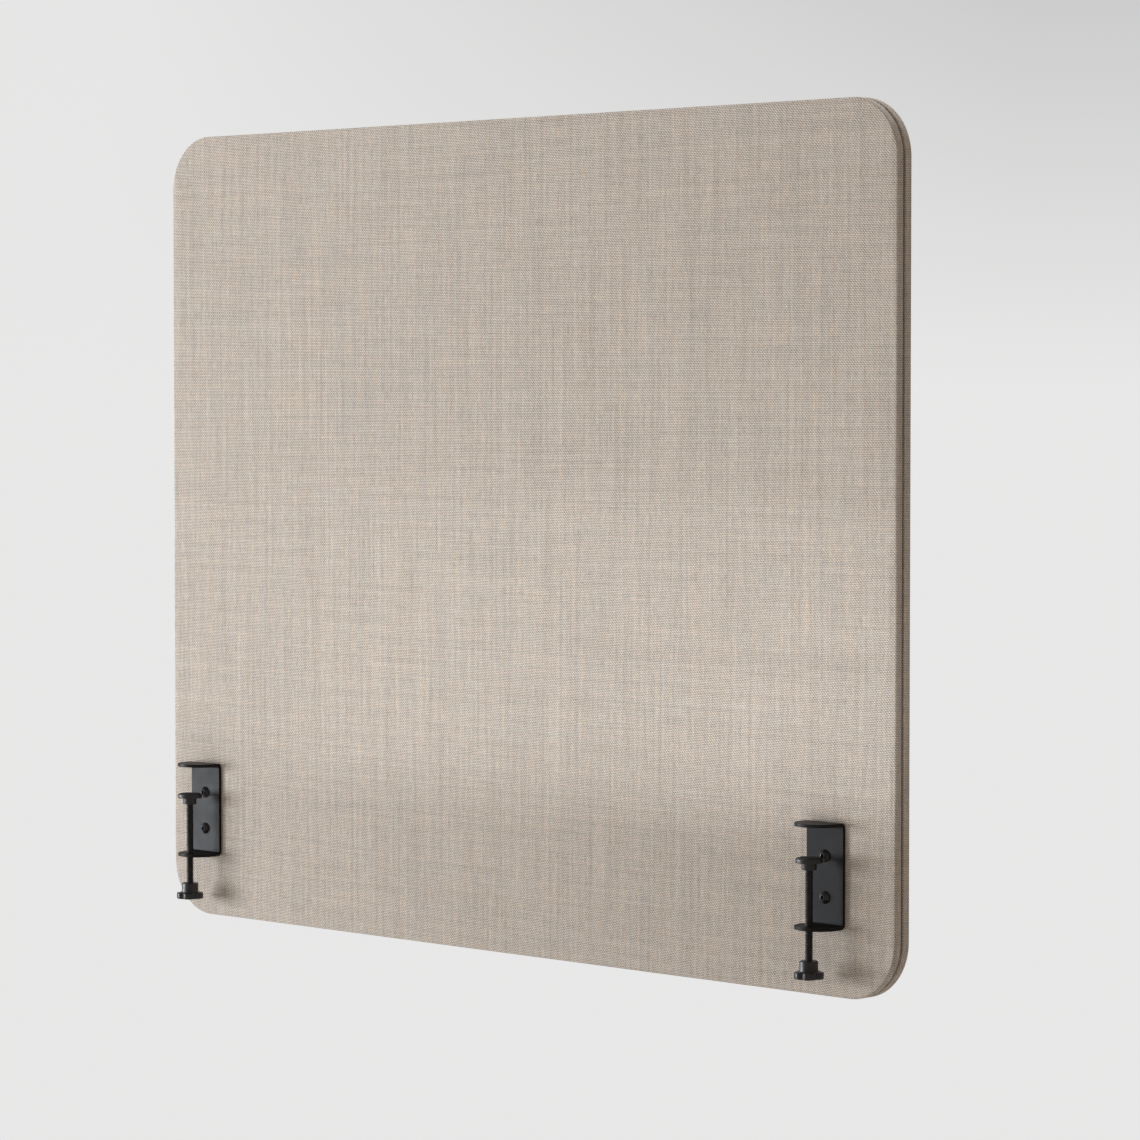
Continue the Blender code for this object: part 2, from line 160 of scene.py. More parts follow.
CAMERA_ELEVATION = math.radians(2.477)
CAMERA_LENS = 136.09          # millimetres, on a sensor 36 mm wide
CAMERA_SENSOR = 36.0

# Places from the frame
front_low, front_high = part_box("front_cover")
rear_low, rear_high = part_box("rear_cover")
WIDTH = front_high.x - front_low.x
HEIGHT = front_high.z - front_low.z
CENTRE_Z = (front_high.z + front_low.z) / 2
MIDDLE_Y = (front_low.y + rear_high.y) / 2
HALF = (rear_high.y - front_low.y) / 2


def middle(node):
    low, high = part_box(node)
    return (low + high) / 2


# ---------------------------------------------------------------- materials

class Paint:
    """A node material. Each method adds a node and returns its output socket."""

    def __init__(self, name):
        self.material = bpy.data.materials.new(name)
        self.material.use_nodes = True
        self.tree = self.material.node_tree
        self.shader = self.tree.nodes["Principled BSDF"]

    def add(self, kind, inputs=None, output=0, **properties):
        made = self.tree.nodes.new("ShaderNode" + kind)
        for key, value in properties.items():
            setattr(made, key, value)
        for key, value in (inputs or {}).items():
            self.put(made.inputs[key], value)
        return made.outputs[output]

    def put(self, socket, value):
        if isinstance(value, bpy.types.NodeSocket):
            self.tree.links.new(value, socket)
        else:
            socket.default_value = value

    def math(self, operation, first, second=0.0):
        return self.add("Math", {0: first, 1: second}, operation=operation)

    def scaled(self, vector, by):
        return self.add("VectorMath", {0: vector, 1: by}, operation="MULTIPLY")

    def mapped(self, vector, by, shift):
        """A vector scaled, then moved by the same shift along each axis."""
        return self.add("Mapping", {"Vector": vector, "Location": (shift, shift, shift), "Scale": by})

    def noise(self, vector, scale=1.0, detail=0.0, roughness=0.5):
        settings = {"Vector": vector, "Scale": scale, "Detail": detail, "Roughness": roughness}
        return self.add("TexNoise", settings)

    def spread(self, value, low, high, new_low=0.0, new_high=1.0):
        """A value stretched from one range to another."""
        return self.add("MapRange", {0: value, 1: low, 2: high, 3: new_low, 4: new_high})

    def mix(self, share, first, second, blend="MIX"):
        colours = [(*c, 1.0) if isinstance(c, tuple) else c for c in (first, second)]
        inputs = {0: share, 6: colours[0], 7: colours[1]}
        return self.add("Mix", inputs, output=2, data_type="RGBA", blend_type=blend)

    def grey(self, value):
        return self.add("CombineColor", {0: value, 1: value, 2: value})

    def bump(self, height, distance):
        return self.add("Bump", {"Height": height, "Distance": distance, "Strength": 1.0})

    def wave(self, value, turns):
        """Cosine of a value, with so many turns for each unit of it."""
        return self.math("COSINE", self.math("MULTIPLY", value, 2 * math.pi * turns))

    def place(self):
        return self.add("TexCoord", output=3)

    def edges(self, radius):
        """1 on edges sharper than the radius rounds off, 0 on the faces between."""
        rounded = self.add("Bevel", {"Radius": radius}, samples=6)
        true = self.add("NewGeometry", output=1)
        facing = self.add("VectorMath", {0: rounded, 1: true}, output=1, operation="DOT_PRODUCT")
        return self.spread(facing, 0.995, 0.85)

    def finish(self, colour, roughness, normal=None, settings=None):
        self.put(self.shader.inputs["Base Color"], colour)
        self.put(self.shader.inputs["Roughness"], roughness)
        if normal is not None:
            self.put(self.shader.inputs["Normal"], normal)
        for name, value in (settings or {}).items():
            self.put(self.shader.inputs[name], value)
        return self.material


def fabric_material():
    """Plain weave of spun melange yarns, tan and blue-grey, whose crossings lean with the yarns' twist."""
    paint = Paint("melange_weave")
    cloth = paint.add("UVMap", uv_map="weave")
    cells = paint.scaled(cloth, (1 / YARN_WIDTH, 1 / YARN_HEIGHT, 1.0))
    column, row = paint.add("SeparateXYZ", {0: cells}).node.outputs[:2]
    falling = paint.wave(paint.math("ADD", column, row), 0.5)
    rising = paint.wave(paint.math("SUBTRACT", column, row), 0.5)
    # 1 in the middle of each crossing with the warp on top, -1 with the weft on top
    crossing = paint.math("SUBTRACT", paint.math("MULTIPLY", rising, MIRROR_LEAN),
                          paint.math("MULTIPLY", falling, 1 - MIRROR_LEAN))
    warp_share = paint.spread(crossing, -0.6, 0.6)
    crown = paint.math("POWER", paint.math("ABSOLUTE", crossing), 0.6)

    tone = paint.spread(warp_share, 0.0, 1.0, 0.76, 1.24)
    tone = paint.math("ADD", tone, paint.math("MULTIPLY", paint.wave(row, 1.0), -0.32))
    for number, (across, up, strength) in enumerate(YARN_TONES):
        drawn = paint.noise(paint.mapped(cells, (across, up, 1.0), 7.3 * number))
        tone = paint.math("ADD", tone, paint.spread(drawn, 0.2, 0.8, -strength, strength))
    hue = 0.5
    for number, (across, up, strength) in enumerate(YARN_HUES):
        drawn = paint.noise(paint.mapped(cells, (across, up, 1.0), 3.1 + 5.7 * number))
        hue = paint.math("ADD", hue, paint.spread(drawn, 0.2, 0.8, -strength, strength))
    fibre = paint.noise(cloth, scale=5200.0, detail=2.0, roughness=0.7)
    # painted shade: the colour darkened in the gaps between crossings, where the crown is low; the fibre
    # noise adds a random tone
    depth = paint.math("ADD", paint.spread(crown, 0.0, 0.8, 0.88, 1.02),
                       paint.spread(fibre, 0.3, 0.7, -0.04, 0.04))
    shade = paint.math("MULTIPLY", tone, depth)
    colour = paint.mix(1.0, paint.mix(hue, BLUE_GREY, TAN), paint.grey(shade), "MULTIPLY")

    relief = paint.math("ADD", crown, paint.math("MULTIPLY", fibre, 0.25))
    normal = paint.bump(relief, 0.00012)
    roughness = paint.spread(fibre, 0.2, 0.8, 0.86, 0.98)
    settings = {"Sheen Weight": 0.06, "Sheen Roughness": 0.5, "Specular IOR Level": 0.15}
    return paint.finish(colour, roughness, normal, settings)


def felt_material(name, colour, flecks, scale):
    """Needled felt: crossed fibres in two tones, with pinholes from the needles, darkened by painted shade.
    """
    paint = Paint(name)
    place = paint.place()
    lying = paint.noise(paint.scaled(place, (1.0, 1.0, 6.0)), scale=scale, detail=6.0, roughness=0.75)
    standing = paint.noise(paint.scaled(place, (6.0, 1.0, 1.0)), scale=scale, detail=6.0, roughness=0.75)
    fibres = paint.math("MAXIMUM", lying, standing)
    pins = paint.add("TexVoronoi", {"Vector": place, "Scale": 420.0})
    holes = paint.spread(pins, 0.0, 0.18)
    tone = paint.mix(paint.spread(fibres, 0.45, 0.72), colour, flecks)
    # painted shade: the colour darkened in the needle pinholes
    tone = paint.mix(1.0, tone, paint.grey(paint.spread(holes, 0.0, 1.0, 0.72, 1.0)), "MULTIPLY")
    relief = paint.math("MULTIPLY", fibres, holes)
    return paint.finish(tone, paint.spread(fibres, 0.4, 0.7, 0.98, 0.88),
                        paint.bump(relief, 0.0004), {"Sheen Weight": 0.15})


def board_material():
    """Sanded fibreboard: short matted fibres, darker specks and a denser skin."""
    paint = Paint("fibreboard")
    place = paint.place()
    matted = paint.noise(paint.scaled(place, (1.0, 3.0, 1.6)), scale=900.0, detail=6.0, roughness=0.7)
    chips = paint.add("TexVoronoi", {"Vector": paint.scaled(place, (1.0, 2.0, 1.0)), "Scale": 520.0})
    cloud = paint.noise(place, scale=22.0, detail=3.0)
    tone = paint.mix(paint.spread(matted, 0.35, 0.65), (0.34, 0.22, 0.12), (0.62, 0.47, 0.30))
    tone = paint.mix(paint.spread(chips, 0.0, 0.12, 0.5, 0.0), tone, (0.20, 0.12, 0.06))
    tone = paint.mix(1.0, tone, paint.grey(paint.spread(cloud, 0.3, 0.7, 0.90, 1.06)), "MULTIPLY")
    return paint.finish(tone, paint.spread(matted, 0.3, 0.7, 0.70, 0.88), paint.bump(matted, 0.00012))


def strip_material():
    """Extruded strip: fine drawn lines along it."""
    paint = Paint("extruded_strip")
    place = paint.place()
    lines = paint.noise(paint.scaled(place, (1.0, 40.0, 1.0)), scale=160.0, detail=3.0)
    tone = paint.mix(lines, (0.050, 0.043, 0.036), (0.085, 0.073, 0.062))
    return paint.finish(tone, paint.spread(lines, 0.3, 0.7, 0.52, 0.70), paint.bump(lines, 0.00003))


def zinc_material():
    """Zinc-plated brass with cross knurling and a spangled, slightly dull plating."""
    paint = Paint("zinc_plate")
    place = paint.place()
    spangle = paint.add("TexVoronoi", {"Vector": place, "Scale": 900.0}, output=1)
    tone = paint.mix(0.12, (0.62, 0.60, 0.55), spangle)
    dull = paint.noise(place, scale=700.0, detail=4.0)
    tone = paint.mix(paint.spread(dull, 0.45, 0.75, 0.0, 0.5), tone, (0.38, 0.35, 0.30))
    ridges = paint.add("TexWave", {"Vector": place, "Scale": 420.0}, output=1, bands_direction="DIAGONAL")
    return paint.finish(tone, paint.spread(dull, 0.3, 0.7, 0.28, 0.46),
                        paint.bump(ridges, 0.00012), {"Metallic": 1.0})


def powder_coat_material():
    """Satin black powder coat on steel: fine orange peel, a painted highlight in patches along the edges,
    which are also a little glossier.
    """
    paint = Paint("powder_coat")
    place = paint.place()
    peel = paint.noise(place, scale=1500.0, detail=3.0, roughness=0.6)
    flow = paint.noise(place, scale=180.0, detail=2.0)
    dust = paint.noise(place, scale=60.0, detail=4.0, roughness=0.7)
    # painted highlight: the edges lightened in patches; the same mask makes them a little glossier
    painted_edge_highlight = paint.math("MULTIPLY", paint.edges(0.0006), paint.spread(dust, 0.35, 0.65))
    tone = paint.mix(paint.spread(peel, 0.3, 0.7), (0.0094, 0.009, 0.0084), (0.0155, 0.0148, 0.0138))
    tone = paint.mix(paint.math("MULTIPLY", painted_edge_highlight, 0.5), tone, (0.050, 0.049, 0.047))
    gloss = paint.math("ADD", paint.spread(peel, 0.3, 0.7, 0.36, 0.46),
                       paint.spread(dust, 0.4, 0.7, 0.0, 0.08))
    gloss = paint.math("SUBTRACT", gloss, paint.math("MULTIPLY", painted_edge_highlight, 0.08))
    relief = paint.math("ADD", peel, paint.math("MULTIPLY", flow, 0.6))
    return paint.finish(tone, gloss, paint.bump(relief, 0.00003), {"Specular IOR Level": 0.10})


def black_zinc_material():
    """Black-zinc steel: machined in fine rings, slightly brown, with a painted highlight on the crests and
    edges.
    """
    paint = Paint("black_zinc")
    place = paint.place()
    grain = paint.noise(place, scale=2400.0, detail=4.0, roughness=0.65)
    stain = paint.noise(place, scale=240.0, detail=3.0)
    # painted highlight: the edges and thread crests lightened
    painted_edge_highlight = paint.edges(0.0003)
    tone = paint.mix(paint.spread(stain, 0.35, 0.65), (0.030, 0.029, 0.030), (0.050, 0.047, 0.046))
    tone = paint.mix(paint.math("MULTIPLY", painted_edge_highlight, 0.55), tone, (0.16, 0.155, 0.15))
    return paint.finish(tone, paint.spread(grain, 0.3, 0.7, 0.28, 0.44),
                        paint.bump(grain, 0.00001), {"Metallic": 0.6})


def moulded_material(name, dark, light, roughness, grain_size):
    """Moulded black polymer with an eroded grain, polished a little where hands and edges touch, and a
    painted highlight along the edges.
    """
    paint = Paint(name)
    place = paint.place()
    grain = paint.noise(place, scale=1 / grain_size, detail=3.0, roughness=0.6)
    pits = paint.add("TexVoronoi", {"Vector": place, "Scale": 0.7 / grain_size})
    bloom = paint.noise(place, scale=140.0, detail=3.0)
    # painted highlight: the edges lightened; the same mask makes them a little glossier
    painted_edge_highlight = paint.edges(0.0004)
    tone = paint.mix(paint.spread(bloom, 0.3, 0.7), dark, light)
    tone = paint.mix(paint.math("MULTIPLY", painted_edge_highlight, 0.35), tone, (0.055, 0.055, 0.057))
    gloss = paint.math("SUBTRACT", paint.spread(grain, 0.3, 0.7, roughness - 0.05, roughness + 0.07),
                       paint.math("MULTIPLY", painted_edge_highlight, 0.07))
    relief = paint.math("ADD", grain, paint.math("MULTIPLY", pits, 0.5))
    return paint.finish(tone, gloss, paint.bump(relief, 0.000035))


# ---------------------------------------------------------------- meshes

def mesh_object(name, points, faces, finish):
    """A mesh object at the origin, shaded smooth except over sharp edges."""
    mesh = bpy.data.meshes.new(name)
    mesh.from_pydata([tuple(point) for point in points], [], faces)
    mesh.validate()
    item = bpy.data.objects.new(name, mesh)
    bpy.context.scene.collection.objects.link(item)
    if finish is not None:
        mesh.materials.clear()
        mesh.materials.append(finish)
    mesh.shade_smooth()
    mesh.set_sharp_from_angle(angle=SHARP)
    return item


def apply_modifiers(item, keep_normals=False):
    """Turn what the modifiers make into the item's own mesh."""
    evaluated = item.evaluated_get(bpy.context.evaluated_depsgraph_get())
    made = bpy.data.meshes.new_from_object(evaluated)
    old = item.data
    item.modifiers.clear()
    item.data = made
    made.name = item.name
    bpy.data.meshes.remove(old)
    if not keep_normals:
        made.shade_smooth()
        made.set_sharp_from_angle(angle=SHARP)


def arc(centre, radius, start, end, steps):
    """Points of an arc, from one angle to another, in degrees."""
    angles = np.radians(np.linspace(start, end, steps + 1))
    return [(centre[0] + radius * math.cos(a), centre[1] + radius * math.sin(a)) for a in angles]


def cut_holes(item, places, radius, depth, sides=24):
    """Round holes along Y through an item, at each place."""
    cutter = bmesh.new()
    for place in places:
        grown = bmesh.ops.create_cone(
            cutter, cap_ends=True, segments=sides, radius1=radius, radius2=radius, depth=depth
        )
        bmesh.ops.rotate(cutter, verts=grown["verts"], matrix=ROTATE_TO_Y, cent=(0, 0, 0))
        bmesh.ops.translate(cutter, verts=grown["verts"], vec=place)
    subtract(item, cutter)


def subtract(item, cutter):
    """Take a bmesh of closed bodies from an item, for good."""
    mesh = bpy.data.meshes.new("cutter")
    cutter.to_mesh(mesh)
    cutter.free()
    tool = bpy.data.objects.new("cutter", mesh)
    bpy.context.scene.collection.objects.link(tool)
    boolean = item.modifiers.new("cut", "BOOLEAN")
    boolean.object = tool
    boolean.solver = "EXACT"
    apply_modifiers(item)
    bpy.data.objects.remove(tool)
    bpy.data.meshes.remove(mesh)


# ---------------------------------------------------------------- board

def screw_places():
    return {f"{side}_{level}": middle(f"{side}_{level}_screw") for side in SIDES for level in LEVELS}


def face_lines(length):
    """Where the face's grid lines cross one side: fine in the corners, one cell apart between."""
    radius = CORNER - EDGE
    half = length / 2 - EDGE
    corner = np.linspace(0, radius, CORNER_CELLS + 1)[1:]
    count = round(2 * (half - radius) / CELL)
    straight = np.linspace(-(half - radius), half - radius, count + 1)
    return np.concatenate([-(half - radius) - corner[::-1], straight, half - radius + corner])


def face_grid():
    """The flat face as a grid of points (x, z) about the board's centre, with its round corners."""
    radius = CORNER - EDGE
    xs, zs = face_lines(WIDTH), face_lines(HEIGHT)
    x, z = np.meshgrid(xs, zs, indexing="ij")
    inner_x, inner_z = WIDTH / 2 - CORNER, HEIGHT / 2 - CORNER
    over_x = np.clip(np.abs(x) - inner_x, 0, None) / radius
    over_z = np.clip(np.abs(z) - inner_z, 0, None) / radius
    # the square corner block drawn into a quarter of a disc
    round_x = over_x * np.sqrt(1 - over_z ** 2 / 2)
    round_z = over_z * np.sqrt(1 - over_x ** 2 / 2)
    x = np.where(over_x > 0, np.sign(x) * (inner_x + radius * round_x), x)
    z = np.where(over_z > 0, np.sign(z) * (inner_z + radius * round_z), z)
    return x, z


def rim_order(columns, rows):
    """Indices of the grid's border, in order round it."""
    index = np.arange(columns * rows).reshape(columns, rows)
    return np.concatenate([index[:-1, 0], index[-1, :-1], index[:0:-1, -1], index[0, :0:-1]])


def grid_faces(columns, rows):
    index = np.arange(columns * rows).reshape(columns, rows)
    quads = np.stack([index[:-1, :-1], index[1:, :-1], index[1:, 1:], index[:-1, 1:]], axis=-1)
    return quads.reshape(-1, 4).tolist()


def outward(x, z):
    """Unit vectors out of the board's outline at points of the face's border."""
    inner_x, inner_z = WIDTH / 2 - CORNER, HEIGHT / 2 - CORNER
    away_x = np.sign(x) * np.clip(np.abs(x) - inner_x, 0, None)
    away_z = np.sign(z) * np.clip(np.abs(z) - inner_z, 0, None)
    on_top = np.abs(away_z) >= CORNER - EDGE - 1e-7
    on_side = np.abs(away_x) >= CORNER - EDGE - 1e-7
    away_x = np.where(on_top, 0, away_x)
    away_z = np.where(on_side, 0, away_z)
    length = np.hypot(away_x, away_z)
    return away_x / length, away_z / length


def cover_profile():
    """(inset, height) from the face's border round the edge, over the side and into the seam."""
    edge = arc((EDGE, HALF - EDGE), EDGE, 90, 180, 8)
    lip_end = SEAM_HALF + SEAM_LIP
    side = [(0, lip_end + share * (HALF - EDGE - SEAM_HALF - SEAM_LIP)) for share in (0.66, 0.33)]
    lip = arc((SEAM_LIP, SEAM_HALF + SEAM_LIP), SEAM_LIP, 180, 270, 6)
    hem = [(SEAM_LIP + HEM / 2, SEAM_HALF), (SEAM_LIP + HEM, SEAM_HALF)]
    return edge + side + lip + hem


def cloth_lift(x, z, held):
    """How far the padding lifts each point of a face: a pinned sheet blown up by a light pressure, capped."""
    columns, rows = x.shape
    points = np.stack([x.ravel(), np.zeros(x.size), z.ravel()], axis=1)
    drum = mesh_object("drum", points, grid_faces(columns, rows), None)
    pinned = drum.vertex_groups.new(name="pinned")
    border = set(rim_order(columns, rows).tolist())
    pinned.add([i for i in range(x.size) if i in border or held.ravel()[i]], 1.0, "REPLACE")
    cloth = drum.modifiers.new("cloth", "CLOTH")
    cloth.settings.vertex_group_mass = "pinned"
    cloth.settings.mass = CLOTH_MASS
    cloth.settings.tension_stiffness = CLOTH_STRETCH
    cloth.settings.compression_stiffness = CLOTH_STRETCH
    cloth.settings.shear_stiffness = CLOTH_SHEAR
    cloth.settings.bending_stiffness = CLOTH_BENDING
    cloth.settings.use_pressure = True
    cloth.settings.uniform_pressure_force = CLOTH_PRESSURE
    cloth.settings.effector_weights.gravity = 0
    cloth.point_cache.frame_start = 1
    cloth.point_cache.frame_end = SIM_FRAMES
    for step in range(1, SIM_FRAMES + 1):
        bpy.context.scene.frame_set(step)
    evaluated = drum.evaluated_get(bpy.context.evaluated_depsgraph_get())
    moved = np.array([vertex.co.y for vertex in evaluated.data.vertices])
    bpy.context.scene.frame_set(1)
    bpy.data.objects.remove(drum)
    return LOFT * np.tanh(np.abs(moved) / LOFT).reshape(x.shape)


def pressed_by_clamps(x, z):
    """Where the clamps' back plates hold the front cover flat."""
    held = np.zeros(x.shape, bool)
    margin = CELL * 0.4
    for side in SIDES:
        low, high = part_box(f"{side}_bracket")
        inside_x = (x > low.x - margin) & (x < high.x + margin)
        inside_z = (z + CENTRE_Z > low.z - margin) & (z + CENTRE_Z < high.z + margin)
        held |= inside_x & inside_z
    return held


def lift_of(x, z, held):
    """The simulated lift."""
    return cloth_lift(x, z, held)


def cover(name, facing, lift, finish):
    """A fabric cover. Facing is -1 for the desk side and 1 for the rear."""
    x, z = face_grid()
    columns, rows = x.shape
    rim = rim_order(columns, rows)
    rim_x, rim_z = x.ravel()[rim], z.ravel()[rim]
    out_x, out_z = outward(rim_x, rim_z)
    profile = cover_profile()

    heights = HALF + lift.ravel()
    points = [np.stack([x.ravel(), facing * heights, z.ravel()], axis=1)]
    flat = [np.stack([x.ravel(), z.ravel()], axis=1)]
    faces = grid_faces(columns, rows)
    gathers = gather_pattern(rim_x, rim_z)
    run = 0.0
    before = rim
    start = x.size
    for number in range(1, len(profile)):
        inset, height = profile[number]
        run += math.dist(profile[number], profile[number - 1])
        reach = EDGE - inset
        on_side = max(0.0, 1 - abs(height - HALF / 2) / (HALF / 2))
        reach = reach + gathers * on_side
        across = np.full(len(rim), facing * height)
        points.append(np.stack([rim_x + out_x * reach, across, rim_z + out_z * reach], axis=1))
        flat.append(np.stack([rim_x + out_x * run, rim_z + out_z * run], axis=1))
        here = start + np.arange(len(rim))
        faces += np.stack([before, np.roll(before, -1), np.roll(here, -1), here], axis=1).tolist()
        before = here
        start += len(rim)
    points = np.concatenate(points) + np.array([0, MIDDLE_Y, CENTRE_Z])
    flat = np.concatenate(flat) * np.array([-facing, 1])
    item = mesh_object(name, points, faces, finish)
    orient(item, Vector((0, facing, 0)))
    corners = np.zeros(len(item.data.loops), np.int32)
    item.data.loops.foreach_get("vertex_index", corners)
    weave = item.data.uv_layers.new(name="weave")
    weave.uv.foreach_set("vector", (flat[corners] + 2.0 + facing).astype(np.float32).ravel())
    skin = item.modifiers.new("cloth", "SOLIDIFY")
    skin.thickness = FABRIC
    skin.offset = -1
    skin.use_even_offset = True
    apply_modifiers(item)
    flat_size = (WIDTH - 2 * EDGE + 2 * run, HEIGHT - 2 * EDGE + 2 * run)
    corner = CORNER - EDGE + run
    area = flat_size[0] * flat_size[1] - (4 - math.pi) * corner ** 2
    return item, flat_size, area


def orient(item, outside):
    """Make the faces of an open skin agree, its first face looking along the outside direction."""
    shape = bmesh.new()
    shape.from_mesh(item.data)
    bmesh.ops.recalc_face_normals(shape, faces=shape.faces)
    shape.faces.ensure_lookup_table()
    if shape.faces[0].normal.dot(outside) < 0:
        bmesh.ops.reverse_faces(shape, faces=shape.faces)
    shape.to_mesh(item.data)
    shape.free()
    item.data.shade_smooth()


def gather_pattern(x, z):
    """Small gathers where the cloth is eased round each corner, and a faint unevenness along the sides."""
    inner_x, inner_z = WIDTH / 2 - CORNER, HEIGHT / 2 - CORNER
    over_x, over_z = np.abs(x) - inner_x, np.abs(z) - inner_z
    turn = np.arctan2(np.clip(over_z, 0, None), np.clip(over_x, 0, None))
    in_corner = (over_x > 0) & (over_z > 0)
    phase = np.where(in_corner, turn, 0) * GATHER_TURNS
    fold = np.where(in_corner, np.sin(phase) * np.sin(2 * turn), 0) * GATHER
    uneven = np.sin(x * 61 + z * 47) * np.sin(x * 23 - z * 31) * GATHER * 0.5
    return fold + uneven


def wadding(name, facing, lift, finish):
    """A felt sheet that fills the space between a cover and the core, thinner at its rim."""
    x, z = face_grid()
    columns, rows = x.shape
    low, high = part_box(name)
    inner = (low.y if facing > 0 else high.y) - MIDDLE_Y
    outer = facing * (HALF - FABRIC - GAP + lift.ravel())
    top = np.stack([x.ravel(), outer, z.ravel()], axis=1)
    bottom = np.stack([x.ravel(), np.full(x.size, inner), z.ravel()], axis=1)
    rim = rim_order(columns, rows)
    out_x, out_z = outward(x.ravel()[rim], z.ravel()[rim])
    side = bottom[rim] * 0.5 + top[rim] * 0.5
    side[:, 0] += out_x * FELT_RIM
    side[:, 2] += out_z * FELT_RIM
    faces = grid_faces(columns, rows)
    under = [[i + x.size for i in reversed(face)] for face in faces]
    ring = 2 * x.size + np.arange(len(rim))
    upper = np.stack([rim, np.roll(rim, -1), np.roll(ring, -1), ring], axis=1).tolist()
    lower = np.stack([ring, np.roll(ring, -1), np.roll(rim, -1) + x.size, rim + x.size], axis=1).tolist()
    points = np.concatenate([top, bottom, side]) + np.array([0, MIDDLE_Y, CENTRE_Z])
    item = mesh_object(name + "_felt", points, faces + under + upper + lower, finish)
    recalculate(item)
    return item


def recalculate(item):
    """Make the faces of a closed body look outward."""
    shape = bmesh.new()
    shape.from_mesh(item.data)
    bmesh.ops.recalc_face_normals(shape, faces=shape.faces)
    shape.to_mesh(item.data)
    shape.free()
    item.data.shade_smooth()
    item.data.set_sharp_from_angle(angle=SHARP)


def edge_strip(finish):
    """The strip between the hems, with rounded lips."""
    x, z = face_grid()
    rim = rim_order(*x.shape)
    rim_x, rim_z = x.ravel()[rim], z.ravel()[rim]
    out_x, out_z = outward(rim_x, rim_z)
    low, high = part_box("edge_spline")
    half = (high.y - low.y) / 2
    start = front_high.x - high.x
    end = SEAM_LIP + HEM
    section = [(start + SPLINE_LIP, half), (end, half), (end, -half), (start + SPLINE_LIP, -half)]
    section += [(start, -half + SPLINE_LIP), (start, half - SPLINE_LIP)]
    points, faces = [], []
    for inset, height in section:
        reach = EDGE - inset
        across = np.full(len(rim), height)
        points.append(np.stack([rim_x + out_x * reach, across, rim_z + out_z * reach], axis=1))
    count = len(rim)
    for number in range(len(section)):
        here = number * count + np.arange(count)
        after = (number + 1) % len(section) * count + np.arange(count)
        faces += np.stack([here, np.roll(here, -1), np.roll(after, -1), after], axis=1).tolist()
    points = np.concatenate(points) + np.array([0, MIDDLE_Y, CENTRE_Z])
    item = mesh_object("edge_spline_strip", points, faces, finish)
    recalculate(item)
    return item


def build_board(fabric, felt, strip):
    x, z = face_grid()
    free = np.zeros(x.shape, bool)
    screws = screw_places()
    for side, facing, held in (("front", -1, pressed_by_clamps(x, z)), ("rear", 1, free)):
        lift = lift_of(x, z, held)
        cloth, flat, area = cover(f"{side}_fabric", facing, lift, fabric)
        sheet = wadding(f"{side}_wadding", facing, lift, felt)
        if side == "front":
            holes = [Vector((place.x, front_low.y, place.z)) for place in screws.values()]
            cut_holes(cloth, holes, SCREW_RADIUS + 2 * GAP, CUT_DEPTH)
            cut_holes(sheet, holes, SCREW_RADIUS + 3 * GAP, CUT_DEPTH)
        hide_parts(f"{side}_cover")
        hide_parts(f"{side}_wadding")
        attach(cloth, "board")
        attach(sheet, "board")
    spline = edge_strip(strip)
    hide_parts("edge_spline")
    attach(spline, "board")


# ---------------------------------------------------------------- clamps

def loft(name, rings, finish):
    """A skin over rings of equally many points, its ends closed with a face each."""
    count = len(rings[0])
    points = np.concatenate(rings)
    faces = []
    for first in range(len(rings) - 1):
        here, after = first * count + np.arange(count), (first + 1) * count + np.arange(count)
        faces += np.stack([here, np.roll(here, -1), np.roll(after, -1), after], axis=1).tolist()
    faces.append(list(range(count))[::-1])
    faces.append(list(range(len(points) - count, len(points))))
    item = mesh_object(name, points, faces, finish)
    recalculate(item)
    return item


def turned(name, profile, place, finish):
    """A turned body from a profile of (radius, height), its axis upright through a place."""
    rings = [plain_ring(radius, height, TURNED_STEPS) + np.array(place) for radius, height in profile]
    return loft(name, rings, finish)


def laid_back(ring, place):
    """A ring about the Z axis turned to lie about -Y, then moved to a place."""
    return np.stack([ring[:, 0], -ring[:, 2], ring[:, 1]], axis=1) + np.array(place)


def threaded_rings(radius, depth, pitch, top, bottom, steps=24, rows_each=8):
    """Rings of a right-hand external thread, from the top down, faded out over a turn at each end."""
    angles = 2 * math.pi * np.arange(steps) / steps
    count = round((top - bottom) / pitch * rows_each)
    rings = []
    for height in np.linspace(top, bottom, count + 1):
        phase = (height / pitch - angles / (2 * math.pi)) % 1.0
        tooth = np.clip(1.5 - 4 * np.abs(phase - 0.5), 0, 1)
        fade = min(1.0, (top - height) / pitch, (height - bottom) / pitch)
        size = radius - depth * (1 - tooth) * max(fade, 0.0)
        if fade < 1.0:
            size = size - depth * (1 - fade) * 0.8
        level = np.full(steps, height)
        rings.append(np.stack([size * np.cos(angles), size * np.sin(angles), level], axis=1))
    return rings


def plain_ring(radius, height, steps=24):
    angles = 2 * math.pi * np.arange(steps) / steps
    return np.stack([radius * np.cos(angles), radius * np.sin(angles), np.full(steps, height)], axis=1)


